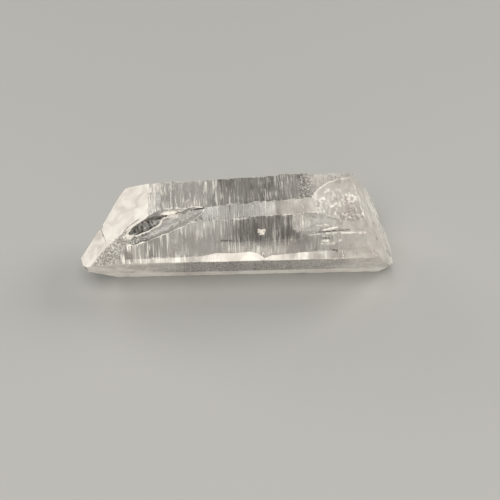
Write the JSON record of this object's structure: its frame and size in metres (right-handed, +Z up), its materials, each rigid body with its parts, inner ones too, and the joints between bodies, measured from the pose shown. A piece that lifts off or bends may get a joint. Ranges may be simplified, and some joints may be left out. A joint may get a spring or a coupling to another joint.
{
  "type": "quartz crystal point",
  "caption": "Clear natural quartz point lying on a prism face: stepped prism faces, slanted tip faces, flake scars by the tip and a wavy broken base.",
  "frame": {"origin": "centre of the crystal's box, on the surface that it lies on", "axes": "+X runs along the crystal from its tip to its broken base, +Y is back, +Z is up"},
  "size_m": [0.082, 0.0262, 0.0246],
  "materials": {
    "quartz": "clear, with fine growth ledges, frosted and mottled on the tip face and the broken base"
  },
  "bodies": {
    "root": {"crystal": "quartz"}
  },
  "joints": []
}
